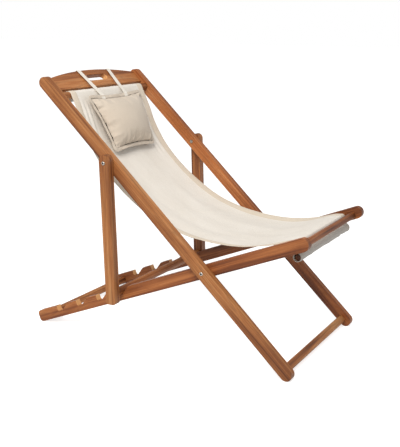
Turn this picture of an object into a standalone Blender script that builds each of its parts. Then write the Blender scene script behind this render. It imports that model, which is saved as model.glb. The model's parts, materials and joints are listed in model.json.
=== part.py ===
"""Folding wooden deck chair with a canvas sling and a strapped head cushion.

Three wooden frames make it. The back frame runs from the front feet up to the headboard, the notched
base frame crosses inside it, and the support frame hangs outside it and rests its bar in the base
frame's notches. The chair faces -Y, its width lies along X, and it stands on z = 0.

Each frame has its own flat coordinates: u along its rails, v across them, w the chair's width. They are
turned about X into place, with the origin on the frame's pivot.
    back frame     u runs up to the headboard, v out of the sitter's side
    base frame     u runs to the notched rear end, v upwards
    support frame  u runs down to the support bar, v rearwards
"""
import math

import bmesh
import bpy
from mathutils import Matrix, Vector

# Driving dimensions, in metres and degrees.
TOUCH = 0.0003                  # gap left between pieces that touch
ROUND_SIDES = 24                # flats round a bar, a bolt or a hole
SIDES = {"right": -1.0, "left": 1.0}     # the sitter's right is -X

BACK_ANGLE = 43.1               # back rails above the floor
BACK_RAIL_DEPTH = 0.040
BACK_RAIL_THICK = 0.025
BACK_RAIL_OUTER = 0.280         # outer face, from the middle of the chair
BACK_TOP = 0.8444               # rounded top end, from the main pivot
BACK_FOOT = 0.4240              # rounded foot, from the main pivot

BASE_RAIL_DEPTH = 0.0416
BASE_RAIL_THICK = 0.023
BASE_RAIL_OUTER = 0.2535
BASE_FRONT = 0.3680             # rounded front end, from the main pivot
BASE_REAR = 0.7420              # rear end, from the main pivot
BASE_REAR_RADIUS = 0.013

NOTCH_FIRST = 0.3640            # steep wall of the notch nearest the pivot
NOTCH_PITCH = 0.0940
NOTCH_COUNT = 4
NOTCH_FLOOR = -0.0010           # height of a notch's floor over the rail's middle
NOTCH_FILLET = 0.008
NOTCH_FLAT = 0.019              # steep wall to the foot of the sloping wall
NOTCH_SLOPE = 33.0

SUPPORT_PIVOT = 0.4720          # second pivot, along the back rails from the main pivot
STRUT_DEPTH = 0.037
STRUT_THICK = 0.028
STRUT_INNER = 0.2822
STRUT_ABOVE = 0.0260            # past the pivot
STRUT_BELOW = 0.0334            # past the support bar
STRUT_FOOT_RADIUS = 0.010
SUPPORT_BAR_RADIUS = 0.0140

EDGE_ROUND = 0.0030             # eased edges of the back rails
STRUT_EDGE_ROUND = 0.0045
BASE_EDGE_ROUND = 0.0014        # smaller, to keep the notches crisp
POCKET = 0.006                  # depth of the housings that hold the cross members
CUT_BEYOND = 0.01               # how far a cutter runs past the face it opens

HEADBOARD_LOW = 0.7850
HEADBOARD_SIDE = 0.8365
HEADBOARD_CREST = 0.8635
HEADBOARD_FRONT = 0.0040
HEADBOARD_THICK = 0.020
BOARD_EDGE = 0.0025
HANDLE_LENGTH = 0.116
HANDLE_HEIGHT = 0.026
HANDLE_MIDDLE = (0.8255, 0.014)          # u, w; a little to the sitter's left

HEAD_BAR_AT = 0.7594
HEAD_BAR_RADIUS = 0.0135
FOOT_BAR = {"u": -0.3905, "v": -0.0070, "size": (0.027, 0.022), "radius": 0.006}

FRONT_BAR = {"u": -0.3320, "v": -0.0045, "size": (0.020, 0.022), "radius": 0.005}
RETAINING_BAR = {"u": -0.2970, "v": -0.0015, "size": (0.022, 0.022), "radius": 0.005}
REAR_BAR = {"u": 0.7050, "v": -0.0035, "size": (0.022, 0.027), "radius": 0.005}

CANVAS_WIDTH = 0.430
CANVAS_THICK = 0.0016
TUNNEL_RADIUS = 0.0140          # outside of a hem tunnel
HEM_DOWEL_RADIUS = 0.0090
HEM_DOWEL_LENGTH = 0.412
DOWEL_EDGE_ROUND = 0.0015

HEAD_TUNNEL = (0.7700, -0.0265)           # u, v in the back frame, behind the gap
FRONT_TUNNEL = (-0.3000, -0.0360)         # u, v in the base frame, below the gap
DOWEL_SAG = 0.0030                        # the loose dowels lie low in their tunnels
COMES_UP_TO_HEAD_BAR = -42.0              # degrees round the head bar where the sheet meets it from behind
LEAVES_HEAD_BAR = 110.0                   # degrees round the head bar where the sheet hangs free
MEETS_FRONT_BAR = 100.0                   # degrees round the retaining bar's front corner, from its top
GOES_DOWN_GAP = 180.0                     # degrees round that corner where the sheet turns down the gap
# The sheet's hang between its bars: forward-facing y from the main pivot, and height over the floor.
SLING_POINTS = ((0.512, 0.760), (0.478, 0.680), (0.430, 0.605), (0.367, 0.540), (0.290, 0.480),
                (0.205, 0.431), (0.110, 0.399), (0.010, 0.384), (-0.090, 0.382), (-0.180, 0.396),
                (-0.250, 0.417))

CUSHION_SIZE = (0.200, 0.046, 0.285)      # height, thickness, width
CUSHION_MIDDLE = (0.628, -0.0115)         # u, v in the back frame
CUSHION_LEAN = 21.7                       # degrees steeper than the back rails
CUSHION_EDGE = 0.35                       # thickness left at its edges
CUSHION_TAPER = 0.22                      # wider at its top
STRAP_WIDTH = 0.018
STRAP_THICK = 0.0016
STRAP_CLEARANCE = 0.0010                  # off the headboard, whose arch it crosses aslant
STRAP_START = (0.7280, 0.0200)            # u, v at the cushion's top edge
STRAP_END = 0.800                         # u of its end behind the headboard
STRAP_AT = {"right": -0.0745, "left": 0.0655}
STRAP_LEAN = {"right": 0.09, "left": 0.35}

BOLT_RADIUS = 0.0039
BOLT_HEAD_RADIUS = 0.0060
BOLT_HEAD_THICK = 0.0030
BOLT_HEAD_CROWN = 0.0018                  # height of the head's rounded edge
BOLT_HEAD_FLAT = 0.8                      # share of the head's radius that is flat on top
BOLT_HEAD_SHOULDER = (0.0008, 0.96)       # depth and share of the radius, halfway round the edge
BOLT_CLEARANCE = 0.0004
SLEEVE_RADIUS = 0.0052
SLEEVE_LENGTH = 0.0140
FLANGE_THICK = 0.0025
SLEEVE_TIP_CLEARANCE = 0.0006
SOCKET_RADIUS = 0.0030
SOCKET_DEPTH = 0.0016
WASHER_RADIUS = 0.0090
WASHER_GAP = 0.00025

WOOD = ((0.50, 0.25, 0.11), 0.55, 0.0)
CANVAS = ((0.80, 0.76, 0.68), 0.90, 0.0)
CUSHION = ((0.70, 0.65, 0.57), 0.90, 0.0)
STEEL = ((0.62, 0.62, 0.60), 0.35, 1.0)


def base_angle():
    """Slope of the base rails that puts their rounded rear corners on the floor."""
    reach = Vector((BASE_REAR - BASE_REAR_RADIUS, BASE_RAIL_DEPTH / 2 - BASE_REAR_RADIUS))
    lift = (PIVOT_HEIGHT - BASE_REAR_RADIUS) / reach.length
    return math.degrees(math.asin(lift) - math.atan2(reach.y, reach.x))


def pivot_y():
    """Place of the main pivot that centres the chair's footprint on the origin."""
    slope = math.radians(BASE_ANGLE)
    front = -(BASE_FRONT - BASE_RAIL_DEPTH / 2) * math.cos(slope) - BASE_RAIL_DEPTH / 2
    corner = BASE_RAIL_DEPTH / 2 - BASE_REAR_RADIUS
    rear = (BASE_REAR - BASE_REAR_RADIUS) * math.cos(slope) + corner * math.sin(slope) + BASE_REAR_RADIUS
    return -(front + rear) / 2


def plane(angle, origin):
    """Matrix from a frame's (u, v, w) to the world, for u at this angle above +Y."""
    turn = math.radians(angle)
    columns = ((0, math.cos(turn), math.sin(turn)), (0, -math.sin(turn), math.cos(turn)), (1, 0, 0))
    return Matrix.Translation(origin) @ Matrix(columns).transposed().to_4x4()


PIVOT_HEIGHT = BACK_RAIL_DEPTH / 2 + (BACK_FOOT - BACK_RAIL_DEPTH / 2) * math.sin(math.radians(BACK_ANGLE))
BASE_ANGLE = base_angle()
MAIN_PIVOT = Vector((0, pivot_y(), PIVOT_HEIGHT))
BACK = plane(BACK_ANGLE, MAIN_PIVOT)
BASE = plane(-BASE_ANGLE, MAIN_PIVOT)
WORLD = plane(0, Vector())

SUPPORT_AXIS = BACK @ Vector((SUPPORT_PIVOT, 0, 0))
BAR_IN_NOTCH = Vector((NOTCH_FIRST - SUPPORT_BAR_RADIUS - TOUCH, NOTCH_FLOOR + SUPPORT_BAR_RADIUS + TOUCH, 0))
STRUT_LINE = BASE @ BAR_IN_NOTCH - SUPPORT_AXIS
BAR_REACH = STRUT_LINE.length
SUPPORT = plane(math.degrees(math.atan2(STRUT_LINE.z, STRUT_LINE.y)), SUPPORT_AXIS)


def clear_scene():
    for item in list(bpy.data.objects):
        bpy.data.objects.remove(item, do_unlink=True)


def collection(name):
    made = bpy.data.collections.new(name)
    bpy.context.scene.collection.children.link(made)
    return made


def material(name, look):
    colour, roughness, metallic = look
    made = bpy.data.materials.new(name)
    made.use_nodes = True
    shader = made.node_tree.nodes["Principled BSDF"]
    shader.inputs["Base Color"].default_value = (*colour, 1.0)
    shader.inputs["Roughness"].default_value = roughness
    shader.inputs["Metallic"].default_value = metallic
    return made


def empty(name, matrix, parent=None):
    made = bpy.data.objects.new(name, None)
    made.empty_display_size = 0.05
    PARTS.objects.link(made)
    made.parent = parent
    made.matrix_basis = matrix if parent is None else parent.matrix_basis.inverted() @ matrix
    return made


# Outlines, as lists of (u, v) points that run anticlockwise.

def arc(middle, radius, start, end, steps):
    """Points round a middle from one angle to another, in degrees."""
    turns = [math.radians(start + (end - start) * i / steps) for i in range(steps + 1)]
    return [(middle[0] + radius * math.cos(t), middle[1] + radius * math.sin(t)) for t in turns]


def circle(middle, radius, steps=ROUND_SIDES):
    return arc(middle, radius, 0, 360, steps)[:-1]


def rounded_box(middle, size, radius, steps=3):
    """A box outline with rounded corners."""
    across, up = size[0] / 2 - radius, size[1] / 2 - radius
    points = []
    for index, (x, y) in enumerate(((1, 1), (-1, 1), (-1, -1), (1, -1))):
        corner = (middle[0] + x * across, middle[1] + y * up)
        points += arc(corner, radius, 90 * index, 90 * index + 90, steps)
    return points


def bar_outline(bar, grow=0.0):
    size = (bar["size"][0] + 2 * grow, bar["size"][1] + 2 * grow)
    return rounded_box((bar["u"], bar["v"]), size, bar["radius"] + grow)


def offset_path(path, distance):
    """The path moved sideways, to its left for a positive distance."""
    moved = []
    for index, point in enumerate(path):
        before = Vector(path[max(index - 1, 0)])
        after = Vector(path[min(index + 1, len(path) - 1)])
        along = (after - before).normalized()
        moved.append((point[0] - along.y * distance, point[1] + along.x * distance))
    return moved


def smooth(points, steps=5):
    """Points along a Catmull-Rom curve through the given ones."""
    chain = [Vector(p) for p in points]
    chain = [2 * chain[0] - chain[1]] + chain + [2 * chain[-1] - chain[-2]]
    made = []
    for a, b, c, d in zip(chain, chain[1:], chain[2:], chain[3:]):
        for i in range(steps):
            t = i / steps
            made.append(0.5 * (2 * b + (c - a) * t + (2 * a - 5 * b + 4 * c - d) * t ** 2
                               + (3 * b - a - 3 * c + d) * t ** 3))
    made.append(chain[-2])
    return [tuple(p) for p in made]


# Solids.

def new_mesh_object(name, mesh, parent, group, look):
    made = bpy.data.objects.new(name, mesh)
    group.objects.link(made)
    made.parent = parent
    if look is not None:
        mesh.materials.append(look)
    mesh.shade_smooth()
    mesh.set_sharp_from_angle(angle=math.radians(35))
    return made


def extruded_mesh(name, outlines, low, high):
    """A flat outline, with any holes in it, made solid between two places along w."""
    curve = bpy.data.curves.new(name, "CURVE")
    curve.dimensions = "2D"
    curve.fill_mode = "BOTH"
    curve.extrude = (high - low) / 2
    for outline in outlines:
        spline = curve.splines.new("POLY")
        spline.points.add(len(outline) - 1)
        for point, (u, v) in zip(spline.points, outline):
            point.co = (u, v, 0, 1)
        spline.use_cyclic_u = True
    shape = bpy.data.objects.new(name, curve)
    CUTTERS.objects.link(shape)
    bpy.context.view_layer.update()
    mesh = bpy.data.meshes.new_from_object(shape.evaluated_get(bpy.context.evaluated_depsgraph_get()))
    bpy.data.objects.remove(shape)
    edit = bmesh.new()
    edit.from_mesh(mesh)
    bmesh.ops.remove_doubles(edit, verts=edit.verts, dist=0.00001)
    bmesh.ops.translate(edit, verts=edit.verts, vec=(0, 0, (high + low) / 2))
    bmesh.ops.recalc_face_normals(edit, faces=edit.faces)
    edit.to_mesh(mesh)
    edit.free()
    mesh.name = name
    return mesh


def extruded(name, outlines, low, high, parent, look):
    return new_mesh_object(name, extruded_mesh(name, outlines, low, high), parent, PARTS, look)


def ease(piece, width, segments=2):
    """Rounds a piece's sharp edges."""
    bevel = piece.modifiers.new("eased_edges", "BEVEL")
    bevel.width = width
    bevel.segments = segments
    bevel.limit_method = "ANGLE"
    bevel.angle_limit = math.radians(40)


def cut(piece, outline, low, high):
    """Takes an extruded outline out of a piece."""
    name = piece.name + "_cutter"
    cutter = new_mesh_object(name, extruded_mesh(name, [outline], low, high), piece.parent, CUTTERS, None)
    cutter.hide_render = True
    cutter.display_type = "WIRE"
    opening = piece.modifiers.new("opening", "BOOLEAN")
    opening.operation = "DIFFERENCE"
    opening.solver = "EXACT"
    opening.object = cutter


def turned(name, profile, outward, parent, look, ring=False):
    """A piece turned about w. The profile holds (height along outward, radius), top to bottom."""
    mesh = bpy.data.meshes.new(name)
    points = [(radius, 0, height) for height, radius in profile]
    edges = [(i, i + 1) for i in range(len(points) - 1)]
    if ring:
        edges.append((len(points) - 1, 0))
    mesh.from_pydata(points, edges, [])
    made = new_mesh_object(name, mesh, parent, PARTS, look)
    made.rotation_euler = (0, 0, 0) if outward > 0 else (math.pi, 0, 0)
    screw = made.modifiers.new("turned", "SCREW")
    screw.steps = screw.render_steps = ROUND_SIDES
    screw.use_merge_vertices = True
    screw.merge_threshold = 0.00001
    screw.use_smooth_shade = True
    return made


def pair(low, high, side):
    """The same stretch of width on either side of the chair, lower end first."""
    return (low, high) if side > 0 else (-high, -low)


# Wooden pieces.

def back_rail(name, side, look):
    half = BACK_RAIL_DEPTH / 2
    inner = BACK_RAIL_OUTER - BACK_RAIL_THICK
    outline = arc((BACK_TOP - half, 0), half, -90, 90, 12) + arc((half - BACK_FOOT, 0), half, 90, 270, 12)
    piece = extruded(name, [outline], *pair(inner, BACK_RAIL_OUTER, side), BACK_FRAME, look)
    ease(piece, EDGE_ROUND)
    through = pair(inner - CUT_BEYOND, BACK_RAIL_OUTER + CUT_BEYOND, side)
    cut(piece, circle((0, 0), BOLT_RADIUS + BOLT_CLEARANCE), *through)
    cut(piece, circle((SUPPORT_PIVOT, 0), SLEEVE_RADIUS + BOLT_CLEARANCE), *through)
    pocket = pair(inner - CUT_BEYOND, inner + POCKET, side)
    cut(piece, circle((HEAD_BAR_AT, 0), HEAD_BAR_RADIUS + TOUCH), *pocket)
    cut(piece, bar_outline(FOOT_BAR, TOUCH), *pocket)


def notch(steep):
    """Outline points of one notch, from its steep rear wall to its front slope's top edge."""
    top = BASE_RAIL_DEPTH / 2
    fillet = arc((steep - NOTCH_FILLET, NOTCH_FLOOR + NOTCH_FILLET), NOTCH_FILLET, 0, -90, 4)
    foot = steep - NOTCH_FLAT
    run = (top - NOTCH_FLOOR) / math.tan(math.radians(NOTCH_SLOPE))
    return [(steep, top)] + fillet + [(foot, NOTCH_FLOOR), (foot - run, top)]


def base_rail(name, side, look):
    half = BASE_RAIL_DEPTH / 2
    inner = BASE_RAIL_OUTER - BASE_RAIL_THICK
    corner = (BASE_REAR - BASE_REAR_RADIUS, half - BASE_REAR_RADIUS)
    outline = arc((corner[0], -corner[1]), BASE_REAR_RADIUS, -90, 0, 5)
    outline += arc(corner, BASE_REAR_RADIUS, 0, 90, 5)
    for index in reversed(range(NOTCH_COUNT)):
        outline += notch(NOTCH_FIRST + index * NOTCH_PITCH)
    outline += arc((half - BASE_FRONT, 0), half, 90, 270, 12)
    piece = extruded(name, [outline], *pair(inner, BASE_RAIL_OUTER, side), BASE_FRAME, look)
    ease(piece, BASE_EDGE_ROUND)
    through = pair(inner - CUT_BEYOND, BASE_RAIL_OUTER + CUT_BEYOND, side)
    cut(piece, circle((0, 0), SLEEVE_RADIUS + BOLT_CLEARANCE), *through)
    pocket = pair(inner - CUT_BEYOND, inner + POCKET, side)
    for bar in (FRONT_BAR, RETAINING_BAR, REAR_BAR):
        cut(piece, bar_outline(bar, TOUCH), *pocket)


def support_strut(name, side, look):
    half = STRUT_DEPTH / 2
    outer = STRUT_INNER + STRUT_THICK
    foot = BAR_REACH + STRUT_BELOW - STRUT_FOOT_RADIUS
    corner = half - STRUT_FOOT_RADIUS
    outline = arc((foot, -corner), STRUT_FOOT_RADIUS, -90, 0, 4)
    outline += arc((foot, corner), STRUT_FOOT_RADIUS, 0, 90, 4)
    outline += arc((half - STRUT_ABOVE, 0), half, 90, 270, 12)
    piece = extruded(name, [outline], *pair(STRUT_INNER, outer, side), SUPPORT_FRAME, look)
    ease(piece, STRUT_EDGE_ROUND)
    through = pair(STRUT_INNER - CUT_BEYOND, outer + CUT_BEYOND, side)
    cut(piece, circle((0, 0), BOLT_RADIUS + BOLT_CLEARANCE), *through)
    pocket = pair(STRUT_INNER - CUT_BEYOND, STRUT_INNER + POCKET, side)
    cut(piece, circle((BAR_REACH, 0), SUPPORT_BAR_RADIUS + TOUCH), *pocket)


def crown_radius():
    """Radius of the headboard's arched top."""
    half = BACK_RAIL_OUTER - BACK_RAIL_THICK - TOUCH
    rise = HEADBOARD_CREST - HEADBOARD_SIDE
    return (half ** 2 + rise ** 2) / (2 * rise)


def headboard(name, look):
    """A board with an arched top and a finger slot, set between the back rails."""
    half = BACK_RAIL_OUTER - BACK_RAIL_THICK - TOUCH
    radius = crown_radius()
    spread = math.degrees(math.asin(half / radius))
    crown = arc((HEADBOARD_CREST - radius, 0), radius, -spread, spread, 16)
    slot_end = HANDLE_LENGTH / 2 - HANDLE_HEIGHT / 2
    height, across = HANDLE_MIDDLE
    slot = arc((height, across + slot_end), HANDLE_HEIGHT / 2, 0, 180, 8)
    slot += arc((height, across - slot_end), HANDLE_HEIGHT / 2, 180, 360, 8)
    outline = [(HEADBOARD_LOW, -half)] + crown + [(HEADBOARD_LOW, half)]
    board = empty("headboard_plane", BACK @ Matrix.Rotation(math.radians(90), 4, "X"), CHAIR)
    piece = extruded(name, [outline, slot], -HEADBOARD_FRONT, HEADBOARD_THICK - HEADBOARD_FRONT, board, look)
    ease(piece, BOARD_EDGE)


def cross_bar(name, outline, inner, parent, look):
    """A cross member whose ends are housed in both rails."""
    reach = inner + POCKET - TOUCH
    extruded(name, [outline], -reach, reach, parent, look)


def sagged(frame, middle):
    """The place of a loose dowel that has dropped in its tunnel, in the frame's own u and v."""
    down = frame.to_3x3().inverted() @ Vector((0, 0, -DOWEL_SAG))
    return middle[0] + down.x, middle[1] + down.y


def hem_dowel(name, middle, parent, look):
    """A loose dowel that holds a hem of the canvas behind its gap."""
    half = HEM_DOWEL_LENGTH / 2
    ease(extruded(name, [circle(middle, HEM_DOWEL_RADIUS, 20)], -half, half, parent, look), DOWEL_EDGE_ROUND)


# Soft pieces.

def base_point(u, v):
    """A point of the base frame as (y, z)."""
    place = BASE @ Vector((u, v, 0))
    return place.y, place.z


def back_point(u, v):
    place = BACK @ Vector((u, v, 0))
    return place.y, place.z


def sling_path():
    """Middle of the canvas from the head tunnel to the front tunnel, as (y, z)."""
    half = CANVAS_THICK / 2
    off_bar = HEAD_BAR_RADIUS + TOUCH + half
    over_bar = arc((HEAD_BAR_AT, 0), off_bar, COMES_UP_TO_HEAD_BAR, LEAVES_HEAD_BAR, 10)
    across, up = RETAINING_BAR["size"]
    corner = (RETAINING_BAR["u"] - across / 2 + RETAINING_BAR["radius"],
              RETAINING_BAR["v"] + up / 2 - RETAINING_BAR["radius"])
    off_corner = RETAINING_BAR["radius"] + TOUCH + half
    over_front = arc(corner, off_corner, MEETS_FRONT_BAR, GOES_DOWN_GAP, 5)
    start = [back_point(u, v) for u, v in over_bar]
    over_front.append((over_front[-1][0], RETAINING_BAR["v"] - up / 2))
    end = [base_point(u, v) for u, v in over_front]
    hanging = [(y + MAIN_PIVOT.y, z) for y, z in SLING_POINTS]
    return start[:-1] + smooth([start[-1]] + hanging + [end[0]]) + end[1:]


def tunnel(middle, meets, steps=20):
    """Outer points of a hem tunnel, from one side of the sheet that meets it round to the other."""
    spread = math.degrees(math.asin(CANVAS_THICK / 2 / TUNNEL_RADIUS))
    towards = math.degrees(math.atan2(meets[1] - middle[1], meets[0] - middle[0]))
    return arc(middle, TUNNEL_RADIUS, towards + spread, towards + 360 - spread, steps)


def canvas_sling(name, look):
    """The sheet with a tunnel at each end, cut from one outline."""
    path = sling_path()
    head, front = back_point(*HEAD_TUNNEL), base_point(*FRONT_TUNNEL)
    left = offset_path(path, CANVAS_THICK / 2)
    right = offset_path(path, -CANVAS_THICK / 2)
    outline = tunnel(head, path[0]) + right + tunnel(front, path[-1]) + list(reversed(left))
    openings = [circle(middle, TUNNEL_RADIUS - CANVAS_THICK, 20) for middle in (head, front)]
    half = CANVAS_WIDTH / 2
    extruded(name, [outline] + openings, -half, half, SIDE_VIEW, look)


def headrest_cushion(name, look):
    """A soft block, thin at its edges, that lies on the canvas below the headboard."""
    lean = Matrix.Rotation(math.radians(CUSHION_LEAN), 4, "Z")
    place = empty("cushion_plane", BACK @ Matrix.Translation((*CUSHION_MIDDLE, 0)) @ lean, CHAIR)
    mesh = bpy.data.meshes.new(name)
    cage = bmesh.new()
    bmesh.ops.create_cube(cage, size=1.0)
    bmesh.ops.subdivide_edges(cage, edges=cage.edges, cuts=2, use_grid_fill=True)
    for vertex in cage.verts:
        if max(abs(vertex.co.x), abs(vertex.co.z)) > 0.49:
            vertex.co.y *= CUSHION_EDGE
        vertex.co.z *= 1 + CUSHION_TAPER * vertex.co.x
    bmesh.ops.scale(cage, verts=cage.verts, vec=CUSHION_SIZE)
    cage.to_mesh(mesh)
    cage.free()
    piece = new_mesh_object(name, mesh, place, PARTS, look)
    soft = piece.modifiers.new("soft_form", "SUBSURF")
    soft.levels = soft.render_levels = 2


def cushion_strap(name, side, look):
    """Webbing from the cushion's top edge, over the headboard and down its back."""
    lean, start = STRAP_LEAN[side], STRAP_AT[side]
    crossing = start + lean * (HEADBOARD_CREST - STRAP_START[0])
    inner_edge = abs(crossing) - STRAP_WIDTH / 2
    crest = HEADBOARD_CREST - inner_edge ** 2 / (2 * crown_radius()) - BOARD_EDGE
    wrap = BOARD_EDGE + STRAP_CLEARANCE + STRAP_THICK / 2
    rear = HEADBOARD_FRONT - HEADBOARD_THICK
    path = [STRAP_START]
    path += arc((crest, HEADBOARD_FRONT - BOARD_EDGE), wrap, 90, 0, 4)
    path += arc((crest, rear + BOARD_EDGE), wrap, 0, -90, 4)
    path.append((STRAP_END, path[-1][1]))
    ribbon = offset_path(path, STRAP_THICK / 2) + list(reversed(offset_path(path, -STRAP_THICK / 2)))
    piece = extruded(name, [ribbon], -STRAP_WIDTH / 2, STRAP_WIDTH / 2, BACK_FRAME, look)
    slant = Matrix.Identity(4)
    slant[2][0] = lean
    slant[2][3] = start - lean * STRAP_START[0]
    piece.data.transform(slant)


# Pivot hardware.

def pivot_set(name, side, faces, washer_span, frames, look):
    """A socket-headed bolt from outside, a washer between the members and a sleeve nut inside."""
    outer_face, inner_face = faces
    bolt_frame, washer_frame, nut_frame = frames
    seat = outer_face + TOUCH
    top = seat + BOLT_HEAD_THICK
    nut_face = inner_face - TOUCH
    tip = nut_face + SLEEVE_TIP_CLEARANCE
    down, share = BOLT_HEAD_SHOULDER
    head = [(top, 0), (top, BOLT_HEAD_FLAT * BOLT_HEAD_RADIUS), (top - down, share * BOLT_HEAD_RADIUS),
            (top - BOLT_HEAD_CROWN, BOLT_HEAD_RADIUS), (seat, BOLT_HEAD_RADIUS)]
    shank = [(seat, BOLT_RADIUS), (tip, BOLT_RADIUS), (tip, 0)]
    bolt = turned(name + "_bolt", head + shank, side, bolt_frame, look)
    cut(bolt, circle((0, 0), SOCKET_RADIUS, 6), *pair(top - SOCKET_DEPTH, top + CUT_BEYOND, side))

    hole = BOLT_RADIUS + BOLT_CLEARANCE
    low, high = washer_span
    section = [(high, hole), (high, WASHER_RADIUS), (low, WASHER_RADIUS), (low, hole)]
    turned(name + "_washer", section, side, washer_frame, look, ring=True)

    bore = BOLT_RADIUS + TOUCH
    end = nut_face + SLEEVE_LENGTH
    flange = nut_face - FLANGE_THICK
    sleeve = [(nut_face, 0), (nut_face, bore), (end, bore), (end, SLEEVE_RADIUS), (nut_face, SLEEVE_RADIUS),
              (nut_face, BOLT_HEAD_RADIUS), (flange, BOLT_HEAD_RADIUS), (flange, 0)]
    turned(name + "_sleeve_nut", sleeve, side, nut_frame, look)


def main():
    rails, bars = material("rails", WOOD), material("cross_members", WOOD)
    cloth = material("canvas", CANVAS)
    soft = material("cushion_cloth", CUSHION)
    steel = material("steel", STEEL)
    back_inner = BACK_RAIL_OUTER - BACK_RAIL_THICK
    base_inner = BASE_RAIL_OUTER - BASE_RAIL_THICK
    main_washer = (BASE_RAIL_OUTER + WASHER_GAP, back_inner - WASHER_GAP)
    support_washer = (BACK_RAIL_OUTER + TOUCH, STRUT_INNER - TOUCH)
    for side_name, side in SIDES.items():
        back_rail("back_rail_" + side_name, side, rails)
        base_rail("base_rail_" + side_name, side, rails)
        support_strut("support_strut_" + side_name, side, rails)
        cushion_strap("cushion_strap_" + side_name, side_name, cloth)
        pivot_set("main_pivot_" + side_name, side, (BACK_RAIL_OUTER, base_inner), main_washer,
                  (BACK_FRAME, BACK_FRAME, BASE_FRAME), steel)
        pivot_set("support_pivot_" + side_name, side, (STRUT_INNER + STRUT_THICK, back_inner), support_washer,
                  (SUPPORT_FRAME, SUPPORT_FRAME, SUPPORT_NUT_FRAME), steel)
    headboard("headboard", bars)
    cross_bar("head_bar", circle((HEAD_BAR_AT, 0), HEAD_BAR_RADIUS), back_inner, BACK_FRAME, bars)
    cross_bar("foot_bar", bar_outline(FOOT_BAR), back_inner, BACK_FRAME, bars)
    cross_bar("front_bar", bar_outline(FRONT_BAR), base_inner, BASE_FRAME, bars)
    cross_bar("retaining_bar", bar_outline(RETAINING_BAR), base_inner, BASE_FRAME, bars)
    cross_bar("rear_bar", bar_outline(REAR_BAR), base_inner, BASE_FRAME, bars)
    cross_bar("support_bar", circle((BAR_REACH, 0), SUPPORT_BAR_RADIUS), STRUT_INNER, SUPPORT_FRAME, bars)
    canvas_sling("canvas_sling", cloth)
    hem_dowel("head_hem_dowel", sagged(BACK, HEAD_TUNNEL), BACK_FRAME, bars)
    hem_dowel("front_hem_dowel", sagged(BASE, FRONT_TUNNEL), BASE_FRAME, bars)
    headrest_cushion("headrest_cushion", soft)


clear_scene()
PARTS = collection("folding_deck_chair")
CUTTERS = collection("cutters")
CHAIR = empty("deck_chair", Matrix.Identity(4))
BACK_FRAME = empty("back_frame_pivot", BACK, CHAIR)
BASE_FRAME = empty("base_frame_pivot", BASE, CHAIR)
SUPPORT_FRAME = empty("support_frame_pivot", SUPPORT, CHAIR)
SUPPORT_NUT_FRAME = empty("support_nut_pivot", plane(BACK_ANGLE, SUPPORT_AXIS), CHAIR)
SIDE_VIEW = empty("side_view", WORLD, CHAIR)
main()
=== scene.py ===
"""Looks for a folding wooden deck chair.

It has oiled wood, a hung canvas sling, a stuffed head cushion and its straps, and everything stands where
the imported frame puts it. Lengths are in metres and angles in degrees. The chair faces -Y, X runs across it,
and the sitter's right is -X.
"""
import json
import math

import bmesh
import bpy
from mathutils import Matrix, Vector, noise


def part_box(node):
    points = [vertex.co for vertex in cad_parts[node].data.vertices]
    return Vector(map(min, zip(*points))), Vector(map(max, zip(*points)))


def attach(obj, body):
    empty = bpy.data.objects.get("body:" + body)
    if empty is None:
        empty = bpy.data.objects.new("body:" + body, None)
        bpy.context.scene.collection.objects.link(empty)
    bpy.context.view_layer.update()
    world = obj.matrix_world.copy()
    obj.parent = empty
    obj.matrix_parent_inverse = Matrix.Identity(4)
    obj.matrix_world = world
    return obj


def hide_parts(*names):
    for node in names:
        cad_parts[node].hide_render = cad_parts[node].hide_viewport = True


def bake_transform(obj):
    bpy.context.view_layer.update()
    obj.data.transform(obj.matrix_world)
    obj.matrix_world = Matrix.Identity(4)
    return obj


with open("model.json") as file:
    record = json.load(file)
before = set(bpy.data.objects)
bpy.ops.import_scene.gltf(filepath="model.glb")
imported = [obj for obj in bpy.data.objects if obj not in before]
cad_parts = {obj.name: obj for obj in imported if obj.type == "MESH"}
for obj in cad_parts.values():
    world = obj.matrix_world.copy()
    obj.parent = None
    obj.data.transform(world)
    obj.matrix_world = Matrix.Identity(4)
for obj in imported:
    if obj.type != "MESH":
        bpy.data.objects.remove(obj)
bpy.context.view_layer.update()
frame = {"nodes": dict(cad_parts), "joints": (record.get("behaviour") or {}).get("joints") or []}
NODES = frame["nodes"]
JOINTS = {joint["name"]: joint for joint in frame["joints"]}

# The view.
VIEW_TARGET = (-0.0628, -0.0468, 0.3949)
VIEW_AZIMUTH = 60.79            # from straight ahead, round to the sitter's right
VIEW_ELEVATION = 14.14
VIEW_DISTANCE = 2.7466
VIEW_ROLL = 0.42
LENS_MM = 72.8
SENSOR_MM = 36

# Canvas sling.
CANVAS_WIDTH = 0.430
CANVAS_THICK = 0.0012
CANVAS_YARN = 0.0011            # from one yarn to the next
HEM_WIDTH = 0.030
HEM_THICK = 0.0022
# The hem's top, from the sheet's edge inwards: distance from the edge, and share of half its thickness.
HEM_PROFILE = ((0.0, 0.0), (0.0004, 0.7), (0.0016, 1.0), (0.5 * HEM_WIDTH, 1.05), (HEM_WIDTH - 0.0030, 1.0),
               (HEM_WIDTH - 0.0014, 0.80))
HEM_FOOT = 0.45                 # height of the hem's inner edge, as a share of the single cloth's thickness
CANVAS_STEP = 0.005             # spacing of the sheet's mesh
ROUND_STEP = 0.0016             # its spacing in the tight rounds
ROUND_TURN = 0.02               # a round is tight if it turns by more radians than this in a ROUND_STEP
TUNNEL_RADIUS = 0.0133          # middle of the cloth round a hem dowel
TUNNEL_GAP = 14                 # degrees left open on each side of where the sheet leaves its tunnel
TUNNEL_SEAM = 0.010             # from the tunnel to the row of stitches that closes it
DOWEL_SAG = 0.0030              # the dowels lie this far below the middles of their tunnels
BAR_GAP = 0.0011                # cloth's middle off the wood that it lies on
HEAD_WRAP = (-42, 110)          # where the sheet comes on to the head bar and leaves it, in degrees from u
RETAINING_HALF = 0.011          # half the side of the retaining bar's square section
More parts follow.
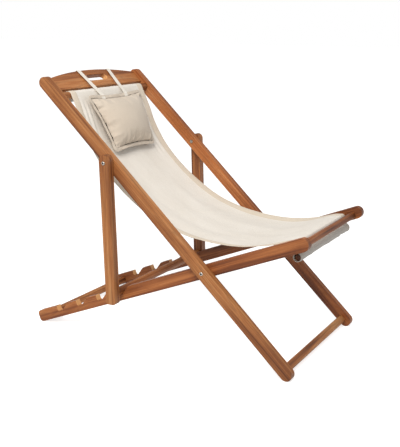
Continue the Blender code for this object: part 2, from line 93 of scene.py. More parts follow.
RETAINING_EDGE = 0.005          # radius of its edges
RETAINING_WRAP = (100, 180)     # where the sheet bends round its upper front edge, in degrees from u
# The sheet's hang between its bars: y from the main pivot, and height over the floor.
SLING_POINTS = ((0.512, 0.760), (0.478, 0.680), (0.430, 0.605), (0.367, 0.540), (0.290, 0.480),
                (0.205, 0.431), (0.110, 0.399), (0.010, 0.384), (-0.090, 0.382), (-0.180, 0.396),
                (-0.250, 0.417))

# Head cushion, in its own plane: x across the chair, y up the cushion and z to its front.
CUSHION_AT = (0.6310, -0.0125)  # u, v of its middle in the back frame
CUSHION_LEAN = 21.7             # degrees steeper than the back rails
CUSHION_TOP = 0.298             # width along the seam at its top
CUSHION_BOTTOM = 0.231
CUSHION_HEIGHT = 0.188
CUSHION_PULL = 0.008            # how far the sides pull in between the corners
CUSHION_CELL = 0.0045           # spacing of the cover's mesh
CUSHION_FRONT = 0.050           # how far its front stands off the flange
CUSHION_BACK = 0.017
CUSHION_UNFILLED = 0.85         # share of its depth before it is blown up
CUSHION_FULLNESS = 0.60         # lower for a boxier crown
CUSHION_SPARE = 0.012           # share of extra cloth
CUSHION_YARN = 0.0009
STUFFING_FRAMES = 24            # steps of the cloth simulation
PUCKER_REACH = 0.016            # how far the puckers along the seam run into the cover
PUCKER_DEPTH = 0.0120           # scale of their height
PUCKER_RISE = 0.004             # a pucker reaches its full depth this far in from the seam
FLANGE_WIDTH = 0.0130
FLANGE_THICK = 0.0016
FLANGE_ROWS = (0.10, 0.45, 0.80, 1.0)   # shares of its width
FLANGE_FRILL = 0.0026           # height of its short waves
FLANGE_CURL = 0.0050            # height of its long waves
FLANGE_RAGGED = 0.0012          # unevenness of its edge
FRILL_SCALE = 95                # waves to a metre
CURL_SCALE = 22

# Straps, in the back frame.
STRAP_WIDTH = 0.0185
STRAP_THICK = 0.0014
STRAP_YARN = 0.0010
STRAP_STEP = 0.003              # spacing of the webbing's mesh
# The webbing's top, from its edge inwards: distance from the edge, and share of half its thickness.
STRAP_PROFILE = ((0.0, 0.0), (0.0004, 1.0), (0.0012, 1.15), (0.0022, 1.0))
# u, v along its sewn end.
STRAP_SEWN = ((0.7090, 0.0195), (0.7160, 0.0222), (0.7235, 0.0235))
# Its place across the chair, and how much that changes for each metre up the back.
STRAP_AT = {"right": -0.0745, "left": 0.0655}
STRAP_LEAN = {"right": 0.09, "left": 0.35}
STRAP_FROM = 0.7280             # u at which a strap is at its STRAP_AT
STRAP_END = 0.800
STRAP_OFF = 0.0018              # middle of the webbing off the board
STRAP_FREE = ((0.015, 0.035), (0.075, 0.095))   # its free run: it begins and ends over these stretches
STRAP_SWAY = 0.0008
STRAP_TWIST = 0.0006
STRAP_EDGE = 0.0018             # width of its woven edges
STRAP_ROWS = (0.0025, 0.0110)   # rows of stitches across it, from its sewn end
# The headboard that they go over, in u and v.
BOARD_FRONT = 0.0040
BOARD_THICK = 0.020
BOARD_CREST = 0.8635
BOARD_ARCH = 1.2168             # radius of its arched top
BOARD_EDGE = 0.0025             # radius of its edges

# Stitching.
STITCH_HALF = 0.0005            # half the width of the thread
STITCH_PITCH = 0.0034
STITCH_SHARE = 0.68             # share of the pitch that shows thread
STITCH_INSET = 0.0030           # from the edge that a row holds down

# Light.
SKY = 0.56                      # brightness overhead, beside the horizon's 1
BOUNCE = 0.40                   # brightness from below
SKY_STOPS = ((0.42, BOUNCE), (0.48, 1.0), (0.53, 1.0), (0.62, SKY))     # 0.5 is level, and 1 is overhead
KEY_PLACE = (-2.6, -0.7, 2.9)
KEY_TARGET = (0, 0, 0.4)
KEY_SIDE = 1.6
KEY_POWER = 112                 # watts
KEY_COLOUR = (1.0, 0.96, 0.91)
FLOOR_SIDE = 60
FLOOR_TONE = (0.80, 0.80, 0.80)
FLOOR_GLOW = 0.66

# Colours of the oiled wood.
WOOD_DARK = (0.075, 0.021, 0.006)
WOOD_RED = (0.230, 0.077, 0.022)
WOOD_MIDDLE = (0.400, 0.158, 0.049)
WOOD_PALE = (0.600, 0.310, 0.130)
# painted light: the pale colour of cross-cut faces in the notches and the finger slot
WOOD_CUT_PAINTED_LIGHT = (0.780, 0.420, 0.170)
WOOD_REDDENED = (1.0, 0.72, 0.62)       # multiplies the others in the reddest wood

# Colours of the cloth.
CANVAS_CREAM = (0.795, 0.760, 0.705)
CANVAS_SHADE = (0.700, 0.655, 0.585)
CANVAS_HEM = (0.640, 0.545, 0.420)
# painted shade for the front tunnel, which hangs under the seat away from the light
HEM_PAINTED_SHADE = (0.560, 0.515, 0.460)
THREAD = (0.480, 0.420, 0.340)
CUSHION_BEIGE = (0.640, 0.560, 0.465)
CUSHION_SHADE = (0.540, 0.465, 0.380)
SEAM_SHADE = (0.220, 0.175, 0.130)
WEBBING_CREAM = (0.820, 0.780, 0.720)
WEBBING_SHADE = (0.690, 0.645, 0.570)

CLOTH_RELIEF = 0.5              # strength of the weave's bump
CLOTH_SHEEN = 0.15

# Steel.
STEEL_DULL = (0.34, 0.32, 0.29)
STEEL_BRIGHT = (0.52, 0.50, 0.46)
SOCKET_PAINTED_SHADE = (0.012, 0.010, 0.009)
SOCKET_RADIUS = 0.0033          # of the painted shade over the socket in a bolt's head


# Frames of the chair's parts. u runs along the rails, v across them and w is the chair's width.

def middle(node):
    """Middle of a node's box, as (y, z)."""
    low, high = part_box(node)
    return (low[1] + high[1]) / 2, (low[2] + high[2]) / 2


def plane(origin, direction):
    """Matrix from (u, v, w) to the world, for u along a direction in the YZ plane."""
    y, z = Vector((direction[0], direction[1])).normalized()
    columns = ((0, y, z), (0, -z, y), (1, 0, 0))
    return Matrix.Translation((0, *origin)) @ Matrix(columns).transposed().to_4x4()


def between(start, end):
    """Direction from one (y, z) point to another."""
    return end[0] - start[0], end[1] - start[1]


MAIN_PIVOT = tuple(JOINTS["base_fold"]["pos_m"][1:])
SUPPORT_PIVOT = tuple(JOINTS["support_fold"]["pos_m"][1:])
BACK = plane(MAIN_PIVOT, between(MAIN_PIVOT, SUPPORT_PIVOT))
BASE = plane(MAIN_PIVOT, between(middle("front_bar"), middle("rear_bar")))
SUPPORT = plane(SUPPORT_PIVOT, between(SUPPORT_PIVOT, middle("support_bar")))


# Small helpers.

def arc(centre, radius, start, end, steps):
    """Points round part of a circle, from one angle to another."""
    turns = [math.radians(start + (end - start) * i / steps) for i in range(steps + 1)]
    return [(centre[0] + radius * math.cos(t), centre[1] + radius * math.sin(t)) for t in turns]


def smooth(points, steps):
    """Points along a Catmull-Rom curve through the given ones, with steps to each gap."""
    chain = [Vector(p) for p in points]
    chain = [2 * chain[0] - chain[1]] + chain + [2 * chain[-1] - chain[-2]]
    made = []
    for a, b, c, d in zip(chain, chain[1:], chain[2:], chain[3:]):
        for i in range(steps):
            t = i / steps
            made.append(0.5 * (2 * b + (c - a) * t + (2 * a - 5 * b + 4 * c - d) * t ** 2
                               + (3 * b - a - 3 * c + d) * t ** 3))
    made.append(chain[-2])
    return [tuple(p) for p in made]


def resample(points, step):
    """The same route with points evenly spaced along it, and each point's distance from the start."""
    chain = [Vector(p) for p in points]
    reach = [0.0]
    for a, b in zip(chain, chain[1:]):
        reach.append(reach[-1] + (b - a).length)
    count = max(2, round(reach[-1] / step))
    made, at = [], 0
    for i in range(count + 1):
        goal = reach[-1] * i / count
        while at < len(chain) - 2 and reach[at + 1] < goal:
            at += 1
        share = (goal - reach[at]) / max(reach[at + 1] - reach[at], 1e-9)
        made.append((chain[at].lerp(chain[at + 1], share), goal))
    return made


def refine(points):
    """Like resample, CANVAS_STEP apart on gentle curves and about ROUND_STEP apart in tight rounds."""
    fine = resample(points, ROUND_STEP)
    chosen = [fine[0]]
    for i in range(1, len(fine) - 1):
        a = fine[i][0] - fine[i - 1][0]
        b = fine[i + 1][0] - fine[i][0]
        turn = abs(a.angle_signed(b)) if a.length > 0 and b.length > 0 else 0
        gap = CANVAS_STEP if turn < ROUND_TURN else ROUND_STEP
        if fine[i][1] - chosen[-1][1] >= gap * 0.99:    # 0.99 leaves room for rounding
            chosen.append(fine[i])
    chosen.append(fine[-1])
    return chosen


def heading(route, index):
    """Direction of a resampled route at one of its points."""
    before = route[max(index - 1, 0)][0]
    after = route[min(index + 1, len(route) - 1)][0]
    return (after - before).normalized()


def bump(value, low, high):
    """Smoothly 0 at low and 1 at high."""
    t = min(max((value - low) / (high - low), 0.0), 1.0)
    return t * t * (3 - 2 * t)


def stretch(value, rise, fall):
    """1 between two stretches: it rises from 0 over the first, and falls back to 0 over the second."""
    return bump(value, *rise) * (1 - bump(value, *fall))


def new_object(name, mesh, look):
    """A smooth-shaded object in the scene, with one material."""
    made = bpy.data.objects.new(name, mesh)
    bpy.context.scene.collection.objects.link(made)
    made.data.materials.append(look)
    mesh.shade_smooth()
    return made


def loft(name, rows, ring, reaches, look):
    """A closed ribbon through rows of points, one row for each reach along it and one point for each of ring.

    Its flat coordinates are the ring's w and the row's reach.
    """
    edit = bmesh.new()
    layer = edit.loops.layers.uv.new("flat")
    made = [[edit.verts.new(place) for place in row] for row in rows]
    size = len(ring)
    for i in range(len(made) - 1):
        for j in range(size):
            k = (j + 1) % size
            corners = ((i, j), (i, k), (i + 1, k), (i + 1, j))
            face = edit.faces.new([made[row][column] for row, column in corners])
            for loop, (row, column) in zip(face.loops, corners):
                loop[layer].uv = (ring[column][0], reaches[row])
    for row in (made[0], made[-1]):
        edit.faces.new(row)
    bmesh.ops.recalc_face_normals(edit, faces=edit.faces)
    mesh = bpy.data.meshes.new(name)
    edit.to_mesh(mesh)
    edit.free()
    return new_object(name, mesh, look)


def dress(node, look):
    """Gives a carried-over CAD node a material."""
    mesh = NODES[node].data
    mesh.materials.clear()
    mesh.materials.append(look)


# Materials.

def fill_ramp(ramp, stops):
    """Gives a fresh colour ramp, which has two stops, the (position, colour) stops."""
    for _ in stops[2:]:
        ramp.elements.new(0.5)
    for element, (position, colour) in zip(ramp.elements, stops):
        element.position = position
        element.color = (*colour, 1.0)


class Shader:
    """A material's node tree, with short calls for the nodes used here."""

    def __init__(self, name):
        self.material = bpy.data.materials.new(name)
        self.material.use_nodes = True
        self.tree = self.material.node_tree
        self.surface = self.tree.nodes["Principled BSDF"]

    def node(self, kind, settings=None, **sockets):
        made = self.tree.nodes.new("ShaderNode" + kind)
        for key, value in (settings or {}).items():
            setattr(made, key, value)
        for key, value in sockets.items():
            self.feed(made.inputs[key.replace("_", " ")], value)
        return made

    def feed(self, socket, value):
        if isinstance(value, bpy.types.NodeSocket):
            self.tree.links.new(value, socket)
        elif isinstance(value, tuple) and socket.type == "RGBA":
            socket.default_value = (*value, 1.0)
        else:
            socket.default_value = value

    def math(self, operation, a, b=0.0, c=0.0):
        made = self.tree.nodes.new("ShaderNodeMath")
        made.operation = operation
        for socket, value in zip(made.inputs, (a, b, c)):
            self.feed(socket, value)
        return made.outputs[0]

    def mix(self, share, a, b, blend="MIX"):
        made = self.tree.nodes.new("ShaderNodeMix")
        made.data_type = "RGBA"
        made.blend_type = blend
        self.feed(made.inputs[0], share)
        self.feed(made.inputs[6], a)
        self.feed(made.inputs[7], b)
        return made.outputs[2]

    def ramp(self, value, stops):
        made = self.tree.nodes.new("ShaderNodeValToRGB")
        fill_ramp(made.color_ramp, stops)
        self.feed(made.inputs[0], value)
        return made.outputs[0]

    def noise(self, vector, scale, detail=3.0, roughness=0.55, distortion=0.0):
        made = self.node("TexNoise", Vector=vector, Scale=scale, Detail=detail, Roughness=roughness,
                         Distortion=distortion)
        return made.outputs["Fac"]

    def bump(self, height, strength, distance):
        return self.node("Bump", Strength=strength, Distance=distance, Height=height).outputs[0]

    def set(self, **sockets):
        for key, value in sockets.items():
            self.feed(self.surface.inputs[key.replace("_", " ")], value)
        return self.material


def wood(name, along, seed, tone, red, sawn):
    """Oiled acacia whose grain runs along the given world direction.

    tone goes from dark, 0, to pale, 1, and red from tan, 0, to mahogany, 1. Cross-cut faces are dark, but
    get painted light, a pale colour, over the stretch sawn, if there is one: two distances along the grain
    from the origin.
    """
    shader = Shader(name)
    direction = Vector(along).normalized()
    turn = direction.to_track_quat("X", "Z").inverted().to_euler()
    place = shader.node("TexCoord").outputs["Object"]
    local = shader.node("Mapping", Vector=place, Rotation=turn).outputs[0]
    shift = (seed * 1.37 % 5, seed * 0.71 % 3, seed * 0.43 % 2)

    def stretched(along_scale, across_scale):
        """Coordinates for marks that are drawn out along the grain, in counts per metre."""
        scale = (along_scale, across_scale, across_scale)
        return shader.node("Mapping", Vector=local, Location=shift, Scale=scale).outputs[0]

    # Broad changes of tone, streaks, growth rings with their dark lines, fibres and pores.
    wander = shader.noise(stretched(1.3, 10.0), 1.6, detail=2.0)
    streaks = shader.noise(stretched(1.3, 95.0), 1.0, detail=3.0, roughness=0.6, distortion=0.3)
    rings = shader.noise(stretched(1.1, 17.0), 1.0, detail=3.0, roughness=0.45, distortion=0.5)
    bands = shader.math("SINE", shader.math("MULTIPLY", rings, 44.0))
    bands = shader.math("MULTIPLY_ADD", bands, 0.5, 0.5)
    lines = shader.math("POWER", bands, 7.0)
    fibres = shader.noise(stretched(5.0, 260.0), 1.0, detail=4.0, roughness=0.7)
    pores = shader.noise(stretched(45.0, 1100.0), 1.0, detail=1.0)
    pores = shader.ramp(pores, [(0.60, (0, 0, 0)), (0.68, (1, 1, 1))])

    value = shader.math("MULTIPLY_ADD", bands, 0.12, shader.math("MULTIPLY", fibres, 0.50))
    value = shader.math("MULTIPLY_ADD", streaks, 0.90, value)
    value = shader.math("ADD", value, shader.math("MULTIPLY_ADD", wander, 1.00, 0.34 * tone - 0.98))
    stops = [(0.12, WOOD_DARK), (0.36, WOOD_RED), (0.58, WOOD_MIDDLE), (0.86, WOOD_PALE)]
    colour = shader.ramp(value, stops)
    colour = shader.mix(shader.math("MULTIPLY", lines, 0.30), colour, WOOD_DARK)
    colour = shader.mix(shader.math("MULTIPLY", pores, 0.30), colour, WOOD_DARK)
    colour = shader.mix(red, colour, WOOD_REDDENED, "MULTIPLY")

    # Cross-cut faces: dark end grain, and painted light over the sawn stretch.
    facing = shader.node("VectorMath", {"operation": "DOT_PRODUCT"})
    shader.feed(facing.inputs[0], shader.node("TexCoord").outputs["Normal"])
    facing.inputs[1].default_value = direction
    end = shader.math("POWER", shader.math("ABSOLUTE", facing.outputs["Value"]), 2.5)
    cut = WOOD_DARK
    if sawn is not None:
        at = shader.node("SeparateXYZ", Vector=local).outputs["X"]
        middle_at, half = (sawn[0] + sawn[1]) / 2, abs(sawn[1] - sawn[0]) / 2
        off = shader.math("ABSOLUTE", shader.math("SUBTRACT", at, middle_at))
        painted_light_cut = shader.math("LESS_THAN", off, half)
        cut = shader.mix(painted_light_cut, WOOD_DARK, WOOD_CUT_PAINTED_LIGHT)
        end = shader.math("MULTIPLY", end, shader.math("MULTIPLY_ADD", painted_light_cut, 1.2, 1.0))
    colour = shader.mix(shader.math("MULTIPLY", end, 0.40), colour, cut)

    rough = shader.math("MULTIPLY_ADD", fibres, 0.22, 0.40)
    relief = shader.math("MULTIPLY_ADD", fibres, 0.6, shader.math("MULTIPLY", pores, -0.5))
    return shader.set(Base_Color=colour, Roughness=rough, Specular_IOR_Level=0.28,
                      Normal=shader.bump(relief, 0.30, 0.0006))


def weave(shader, vector, pitch):
    """Height of a plain weave, from coordinates in metres on the cloth."""
    split = shader.node("SeparateXYZ", Vector=vector)
    turns = [shader.math("MULTIPLY", split.outputs[i], math.pi / pitch) for i in (0, 1)]
    waves = [shader.math("SINE", turn) for turn in turns]
    over = shader.math("MULTIPLY", waves[0], waves[1])
    return shader.math("MULTIPLY_ADD", over, 0.5, 0.5)


def cloth(name, colour, shade, yarn_pitch, trim):
    """Plain-woven cotton with slubs and a slightly uneven tone, from its flat coordinates in metres.

    trim(shader, place, colour, height) adds hems, stitches or painted shade, and returns the new colour and
    height.
    """
    shader = Shader(name)
    place = shader.node("TexCoord").outputs["UV"]
    yarn = weave(shader, place, yarn_pitch)
    slub_x = shader.noise(shader.node("Mapping", Vector=place, Scale=(1500.0, 60.0, 60.0)).outputs[0], 1.0)
    slub_y = shader.noise(shader.node("Mapping", Vector=place, Scale=(60.0, 1500.0, 60.0)).outputs[0], 1.0)
    slub = shader.math("MULTIPLY_ADD", slub_x, 0.5, shader.math("MULTIPLY", slub_y, 0.5))
    broad = shader.noise(place, 9.0)
    tint = shader.math("MULTIPLY_ADD", slub, 0.9, shader.math("MULTIPLY_ADD", broad, 0.5, -0.25))
    base = shader.ramp(tint, [(0.25, shade), (0.70, colour)])
    # Painted shade in the weave's hollows: up to a tenth of the way to the shade colour where the yarns dip.
    base = shader.mix(shader.math("MULTIPLY_ADD", yarn, -0.10, 0.10), base, shade)
    height = shader.math("MULTIPLY_ADD", yarn, 0.6, shader.math("MULTIPLY", slub, 0.7))
    base, height = trim(shader, place, base, height)
    return shader.set(Base_Color=base, Roughness=0.92, Specular_IOR_Level=0.2, Sheen_Weight=CLOTH_SHEEN,
                      Sheen_Roughness=0.6, Normal=shader.bump(height, CLOTH_RELIEF, 0.0005))


def stitches(shader, off, along):
    """1 on the threads of a row of stitches, from the distance off the row and the distance along it."""
    near = shader.math("LESS_THAN", shader.math("ABSOLUTE", off), STITCH_HALF)
    turn = shader.math("FRACT", shader.math("MULTIPLY", along, 1 / STITCH_PITCH))
    return shader.math("MULTIPLY", near, shader.math("LESS_THAN", turn, STITCH_SHARE))


def canvas_trim(ends):
    """Side hems, painted shade on the front tunnel, and stitches.

    ends are the distances along the sheet to the two rows that close the tunnels.
    """
    def trim(shader, place, base, height):
        split = shader.node("SeparateXYZ", Vector=place)
        across = shader.math("ABSOLUTE", split.outputs["X"])
        along = split.outputs["Y"]
        seam = CANVAS_WIDTH / 2 - HEM_WIDTH
        hem = shader.math("GREATER_THAN", across, seam)
        base = shader.mix(shader.math("MULTIPLY", hem, 0.75), base, CANVAS_HEM)
        rows = stitches(shader, shader.math("SUBTRACT", across, seam + STITCH_INSET), along)
        for end in ends:
            row = stitches(shader, shader.math("SUBTRACT", along, end), split.outputs["X"])
            rows = shader.math("MAXIMUM", rows, row)
        # Painted shade over the front tunnel, past its row of stitches, where it hangs under the seat.
        shaded_front_hem = shader.math("GREATER_THAN", along, ends[1])
        base = shader.mix(shader.math("MULTIPLY", shaded_front_hem, 0.80), base, HEM_PAINTED_SHADE)
        base = shader.mix(shader.math("MULTIPLY", rows, 0.75), base, THREAD)
        return base, shader.math("MULTIPLY_ADD", rows, -2.0, height)
    return trim


def cushion_trim(shader, place, base, height):
    """Painted shade along the seam, where the puckered cover meets its flange, from the mesh's own seam
    layer.
    """
    seam = shader.node("Attribute", {"attribute_name": "seam"}).outputs["Fac"]
    return shader.mix(shader.math("MULTIPLY", seam, 0.35), base, SEAM_SHADE), height


def webbing_trim(shader, place, base, height):
    """A woven edge on each side, and the box of stitches that holds the webbing to the cushion."""
    split = shader.node("SeparateXYZ", Vector=place)
    across = shader.math("ABSOLUTE", split.outputs["X"])
    edge = shader.math("GREATER_THAN", across, STRAP_WIDTH / 2 - STRAP_EDGE)
    base = shader.mix(shader.math("MULTIPLY", edge, 0.25), base, WEBBING_SHADE)
    ends = [stitches(shader, shader.math("SUBTRACT", split.outputs["Y"], at), split.outputs["X"])
            for at in STRAP_ROWS]
    off = shader.math("SUBTRACT", across, STRAP_WIDTH / 2 - STITCH_INSET)
    sewn = shader.math("LESS_THAN", split.outputs["Y"], STRAP_ROWS[1])
    sides = shader.math("MULTIPLY", stitches(shader, off, split.outputs["Y"]), sewn)
    rows = shader.math("MAXIMUM", shader.math("MAXIMUM", *ends), sides)
    return shader.mix(shader.math("MULTIPLY", rows, 0.7), base, THREAD), height


def metal(name, socket=None):
    """Zinc-plated steel, a little dulled outdoors.

    A bolt's head gets painted shade over its socket, black, rough and without shine, round the axis across
    the chair through socket, a (y, z) point.
    """
    shader = Shader(name)
    place = shader.node("TexCoord").outputs["Object"]
    cloud = shader.noise(place, 300.0, detail=4.0)
    fine = shader.noise(place, 2600.0, detail=2.0)
    colour = shader.ramp(cloud, [(0.35, STEEL_DULL), (0.65, STEEL_BRIGHT)])
    rough = shader.math("MULTIPLY_ADD", cloud, 0.25, 0.22)
    shine = 1.0
    if socket is not None:
        split = shader.node("SeparateXYZ", Vector=place)
        off = [shader.math("SUBTRACT", split.outputs[axis], at) for axis, at in zip("YZ", socket)]
        squares = [shader.math("POWER", value, 2.0) for value in off]
        hole = shader.math("LESS_THAN", shader.math("ADD", *squares), SOCKET_RADIUS ** 2)
        # Painted shade over the socket: black, rough and not metallic.
        colour = shader.mix(hole, colour, SOCKET_PAINTED_SHADE)
        rough = shader.math("MAXIMUM", rough, shader.math("MULTIPLY", hole, 0.9))
        shine = shader.math("SUBTRACT", 1.0, hole)
    return shader.set(Base_Color=colour, Metallic=shine, Roughness=rough,
                      Normal=shader.bump(fine, 0.15, 0.0002))


# The wooden frames and their hardware.

BACK_ALONG = BACK.to_3x3() @ Vector((1, 0, 0))
BASE_ALONG = BASE.to_3x3() @ Vector((1, 0, 0))
SUPPORT_ALONG = SUPPORT.to_3x3() @ Vector((1, 0, 0))
ACROSS = (1, 0, 0)
NOTCHED = (0.25, 0.68)          # stretch of the base rails that holds the notches, in u
SLOTTED = (-0.08, 0.08)         # stretch of the headboard that holds the finger slot, in x
# Each node's grain direction, tone and redness.
WOODEN = {
    "back_rail_right": (BACK_ALONG, 0.62, 0.0),
    "back_rail_left": (BACK_ALONG, 0.54, 0.55),
    "base_rail_right": (BASE_ALONG, 0.44, 0.42),
    "base_rail_left": (BASE_ALONG, 0.34, 0.35),
    "support_strut_right": (SUPPORT_ALONG, 0.56, 0.0),
    "support_strut_left": (SUPPORT_ALONG, 0.50, 0.15),
    "headboard": (ACROSS, 1.00, 0.20),
    "head_bar": (ACROSS, 0.60, 0.0),
    "head_hem_dowel": (ACROSS, 0.60, 0.0),
    "foot_bar": (ACROSS, 0.74, 0.0),
    "front_bar": (ACROSS, 0.44, 0.25),
    "retaining_bar": (ACROSS, 0.50, 0.2),
    # The front hem dowel's very low tone is painted shade, for the dark hollow of the tunnel that it lies in.
    "front_hem_dowel": (ACROSS, 0.05, 0.5),
    "rear_bar": (ACROSS, 0.40, 0.2),
    "support_bar": (ACROSS, 0.40, 0.30),
}


def dress_frame():
    """Wood along each member's own grain, and steel on the pivots."""
    notched = tuple((BASE @ Vector((u, 0, 0))).dot(BASE_ALONG) for u in NOTCHED)
    # Stretches whose cross-cut faces get painted light.
    sawn = {"base_rail_right": notched, "base_rail_left": notched, "headboard": SLOTTED}
    for index, (node, (along, tone, red)) in enumerate(WOODEN.items()):
        dress(node, wood("wood_" + node, along, index + 1, tone, red, sawn.get(node)))
    steel = metal("zinc_plated_steel")
    bolts = {"main_pivot": metal("main_bolt_steel", MAIN_PIVOT),
             "support_pivot": metal("support_bolt_steel", SUPPORT_PIVOT)}
    for side in ("right", "left"):
        for pivot, look in bolts.items():
            dress(f"{pivot}_{side}_bolt", look)
            dress(f"{pivot}_{side}_washer", steel)
            dress(f"{pivot}_{side}_sleeve_nut", steel)


# Canvas sling.

def frame_point(matrix, u, v):
    """(y, z) of a (u, v) point."""
    place = matrix @ Vector((u, v, 0))
    return place.y, place.z


def in_frame(matrix, point):
    """(u, v) of a (y, z) point."""
    place = matrix.inverted() @ Vector((0, *point))
    return place.x, place.y


def tunnel_round(centre, joins, leaving):
    """Points round a tunnel, from beside the point that the sheet leaves towards, round to it.

    leaving is 1 where they run anticlockwise, and -1 where they run clockwise.
    """
    towards = math.degrees(math.atan2(joins[1] - centre[1], joins[0] - centre[0]))
    gap = TUNNEL_GAP * leaving
    return arc(centre, TUNNEL_RADIUS, towards + gap, towards - gap + 360 * leaving, 30)


def tunnel_middle(dowel):
    """Middle of the tunnel that a hem dowel has dropped in, as (y, z)."""
    y, z = middle(dowel)
    return y, z + DOWEL_SAG


def sling_route():
    """Middle of the cloth as (y, z) points: round its head tunnel, on to its front tunnel, and round that."""
    bar_u, bar_v = in_frame(BACK, middle("head_bar"))
    low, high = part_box("head_bar")
    radius = (high[2] - low[2]) / 2 + BAR_GAP
    over_bar = [frame_point(BACK, bar_u + u, bar_v + v) for u, v in arc((0, 0), radius, *HEAD_WRAP, 14)]
    hold_u, hold_v = in_frame(BASE, middle("retaining_bar"))
    corner = (hold_u - RETAINING_HALF + RETAINING_EDGE, hold_v + RETAINING_HALF - RETAINING_EDGE)
    radius = RETAINING_EDGE + BAR_GAP
    over_front = [frame_point(BASE, u, v) for u, v in arc(corner, radius, *RETAINING_WRAP, 6)]
    down = frame_point(BASE, corner[0] - radius, hold_v - RETAINING_HALF)
    hanging = [(y + MAIN_PIVOT[0], z) for y, z in SLING_POINTS]
    start = tunnel_round(tunnel_middle("head_hem_dowel"), over_bar[0], 1)
    end = list(reversed(tunnel_round(tunnel_middle("front_hem_dowel"), down, -1)))
    hang = smooth([over_bar[-1]] + hanging + [over_front[0]], 12)
    return start, over_bar[:-1] + hang + over_front[1:] + [down], end


def section():
    """The cloth's cross section as (w, n) points: over its top from right to left, and back below."""
    half = CANVAS_WIDTH / 2
    seam = half - HEM_WIDTH
    count = round(2 * seam / CANVAS_STEP / 2) * 2
    field = [(-seam + 2 * seam * i / count, CANVAS_THICK / 2) for i in range(1, count)]
    edge = [(-half + inwards, share * HEM_THICK / 2) for inwards, share in HEM_PROFILE]
    edge.append((-seam, CANVAS_THICK * HEM_FOOT))
    top = edge + field + [(-w, n) for w, n in reversed(edge)]
    under = [(w, -n) for w, n in reversed(top[1:-1])]
    return top + under


def wrinkle(s, w, length):
    """How far the cloth stands off its smooth hang, from the distances along and across the sheet."""
    def wave(depth, along, across, seed):
        """Uneven folds, in counts per metre."""
        return depth * noise.noise(Vector((s * along, w * across, seed)))

    hanging = stretch(s, (0.16, 0.32), (length - 0.30, length - 0.14))
    on_head_bar = stretch(s, (0.085, 0.10), (0.125, 0.14))
    head_hem = 1 - bump(s, 0.10, 0.16)
    front_hem = bump(s, length - 0.125, length - 0.095)
    beside_cushion = stretch(s, (0.14, 0.19), (0.30, 0.42)) * stretch(abs(w), (0.125, 0.155), (0.185, 0.200))

    belly = -0.009 * (1 - (w / (CANVAS_WIDTH / 2)) ** 4)
    long_folds = wave(0.0055, 1.6, 12.0, 3.1)
    ripples = wave(0.0011, 7.0, 24.0, 7.7) + wave(0.0005, 26.0, 38.0, 1.2)
    gathers = wave(0.0016, 5.0, 115.0, 5.5)
    puckers = wave(0.0006, 6.0, 60.0, 9.5)
    slack = 0.0022 * math.sin(w * 290 + 2.2 * math.sin(s * 9))
    return ((belly + long_folds) * hanging + ripples * (1 - 0.85 * on_head_bar) + gathers * front_hem
            + puckers * head_hem + slack * beside_cushion)


def make_canvas():
    """The sling, and its length along the cloth."""
    start, body, end = sling_route()
    route = refine(start + body + end)
    length = route[-1][1]
    seams = [resample(start + body[:1], CANVAS_STEP)[-1][1] + TUNNEL_SEAM,
             length - resample(body[-1:] + end, CANVAS_STEP)[-1][1] - TUNNEL_SEAM]
    look = cloth("natural_canvas", CANVAS_CREAM, CANVAS_SHADE, CANVAS_YARN, canvas_trim(seams))
    ring = section()
    rows = []
    for index, (point, s) in enumerate(route):
        along = heading(route, index)
        normal = Vector((along.y, -along.x))
        places = [(w, point + normal * (n + wrinkle(s, w, length))) for w, n in ring]
        rows.append([(w, place.x, place.y) for w, place in places])
    made = loft("canvas_sling_cloth", rows, ring, [s for _, s in route], look)
    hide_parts("canvas_sling")
    return made, length


# Head cushion.

def rim_shape(x, y):
    """Moves a point of the square from -1 to 1 to its place in the cushion's outline."""
    width = CUSHION_BOTTOM + (CUSHION_TOP - CUSHION_BOTTOM) * (y + 1) / 2
    pull_x = CUSHION_PULL * (1 - y * y) * x
    pull_y = CUSHION_PULL * (1 - x * x) * y
    return x * width / 2 - pull_x, y * CUSHION_HEIGHT / 2 - pull_y


def cushion_shell():
    """Two layers joined along their edges, in the cushion's own plane, and its rim's vertices in order."""
    cells_x = round((CUSHION_TOP + CUSHION_BOTTOM) / 2 / CUSHION_CELL)
    cells_y = round(CUSHION_HEIGHT / CUSHION_CELL)
    edit = bmesh.new()
    layer = edit.loops.layers.uv.new("flat")
    layers = []
    for side in (1, -1):
        grid = {}
        for i in range(cells_x + 1):
            for j in range(cells_y + 1):
                rim = i in (0, cells_x) or j in (0, cells_y)
                if rim and side == -1:
                    grid[i, j] = layers[0][i, j]
                    continue
                x, y = 2 * i / cells_x - 1, 2 * j / cells_y - 1
                crown = ((1 - x * x) * (1 - y * y)) ** CUSHION_FULLNESS
                depth = CUSHION_FRONT if side == 1 else -CUSHION_BACK
                grid[i, j] = edit.verts.new((*rim_shape(x, y), CUSHION_UNFILLED * depth * crown))
        layers.append(grid)
        for i in range(cells_x):
            for j in range(cells_y):
                corners = [(i, j), (i + 1, j), (i + 1, j + 1), (i, j + 1)]
                if side == -1:
                    corners.reverse()
                face = edit.faces.new([grid[key] for key in corners])
                for loop, (a, b) in zip(face.loops, corners):
                    loop[layer].uv = (a * CUSHION_CELL, b * CUSHION_CELL)
    edit.verts.index_update()
    order = [(i, 0) for i in range(cells_x)] + [(cells_x, j) for j in range(cells_y)]
    order += [(i, cells_y) for i in range(cells_x, 0, -1)] + [(0, j) for j in range(cells_y, 0, -1)]
    rim = [layers[0][key].index for key in order]
    mesh = bpy.data.meshes.new("cushion")
    edit.to_mesh(mesh)
    edit.free()
    return mesh, rim


